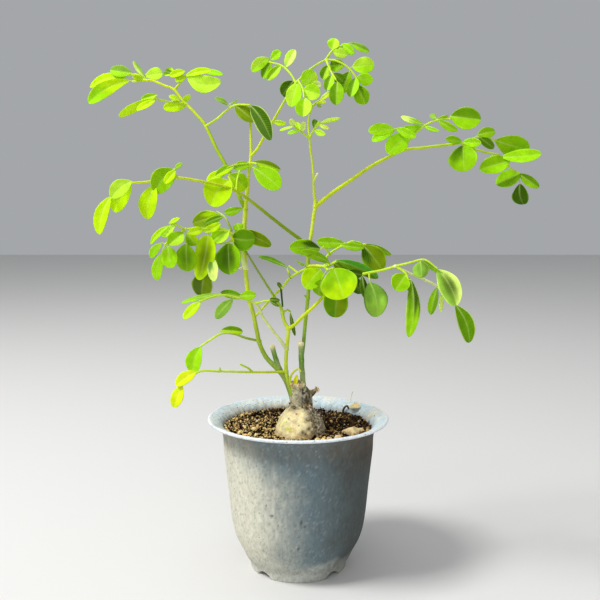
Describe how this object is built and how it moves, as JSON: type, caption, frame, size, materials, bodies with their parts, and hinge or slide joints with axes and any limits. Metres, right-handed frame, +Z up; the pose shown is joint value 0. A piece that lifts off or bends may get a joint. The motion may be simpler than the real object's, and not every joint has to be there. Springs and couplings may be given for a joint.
{
  "type": "potted moringa tree",
  "caption": "Young moringa tree with a swollen pruned trunk, slender stems and feathery round leaflets, in a bell-shaped pale blue-grey plastic pot of soil.",
  "frame": {"origin": "on the floor, under the middle of the whole plant's box; the pot's axis stands 9.7 mm to the -X side of it", "axes": "+Z up along the pot's axis, the pictured front towards -Y, the long right-hand frond towards +X"},
  "size_m": [0.2734, 0.105, 0.3032],
  "materials": {
    "pot_plastic": "satin",
    "potting_mix": "matte",
    "stone": "matte",
    "bark": "matte",
    "green_stem": "satin",
    "leaf": "satin"
  },
  "bodies": {
    "root": {"pot": "pot_plastic", "soil": "potting_mix", "pebble_1": "stone", "pebble_2": "stone", "pebble_3": "stone", "pebble_4": "stone", "trunk": "bark", "stem_left": "green_stem", "stem_middle": "green_stem", "stem_right": "green_stem", "frond_top_left": "leaf", "frond_top": "leaf", "frond_apex": "leaf", "frond_apex_left": "leaf", "frond_apex_right": "leaf", "frond_left_high": "leaf", "frond_upper_left": "leaf", "frond_upper_right": "leaf", "frond_left_cluster": "leaf", "frond_centre": "leaf", "frond_low_left": "leaf", "frond_low_front": "leaf", "frond_low_middle": "leaf", "frond_back_left": "leaf", "frond_thin": "leaf", "frond_centre_right": "leaf", "frond_low_right": "leaf", "frond_right": "leaf"}
  },
  "joints": []
}
